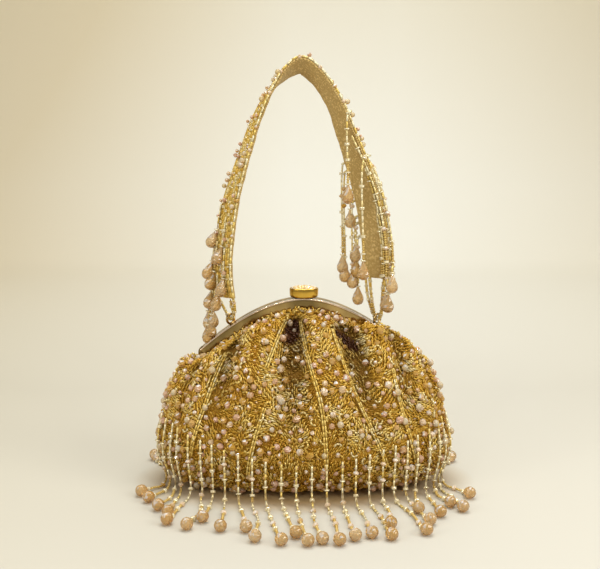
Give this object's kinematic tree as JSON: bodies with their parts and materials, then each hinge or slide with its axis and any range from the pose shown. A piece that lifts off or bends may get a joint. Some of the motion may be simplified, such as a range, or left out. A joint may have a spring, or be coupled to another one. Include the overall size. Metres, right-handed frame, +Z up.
{
  "type": "beaded batua bag with frame, strap and fringe",
  "caption": "Soft gathered beaded evening pouch on an arched metal frame, with a flip-up clasp, a twisted beaded strap with hanging drops, and a long bead fringe.",
  "frame": {"origin": "centre of the pouch's flat base, on the surface that the bag stands on", "axes": "+Z up, -Y towards the front of the bag, +X to the right seen from the front"},
  "size_m": [0.2298, 0.2467, 0.2932],
  "materials": {
    "beadwork": "cloth covered with silver-lined olive-gold bugle beads, seed beads and pale pink cut beads",
    "gilt_metal": "polished pale gold plate",
    "clasp_stones": "polished gold drum with a dome of small amber-gold stones",
    "band_cloth": "ribbed tan-gold woven cloth",
    "bead_strings": "strung gold bugle and seed beads with amber-peach cut glass drops"
  },
  "bodies": {
    "root": {"pouch": "beadwork", "frame_front": "gilt_metal", "frame_back": "gilt_metal", "hinge_rivet_left": "gilt_metal", "hinge_rivet_right": "gilt_metal", "clasp_pin": "gilt_metal", "strap": "band_cloth", "strap_beads_left": "bead_strings", "strap_beads_right": "bead_strings", "strap_loop_left": "bead_strings", "strap_loop_right": "bead_strings", "fringe_front": "bead_strings", "fringe_back": "bead_strings"},
    "clasp": {"clasp_knob": "clasp_stones"}
  },
  "joints": [
    {"name": "clasp_lift", "type": "hinge", "parent": "root", "child": "clasp", "pos_m": [0, 0.0084, 0.1323], "axis": [-1, 0, 0], "range_deg": [0, 75]}
  ]
}
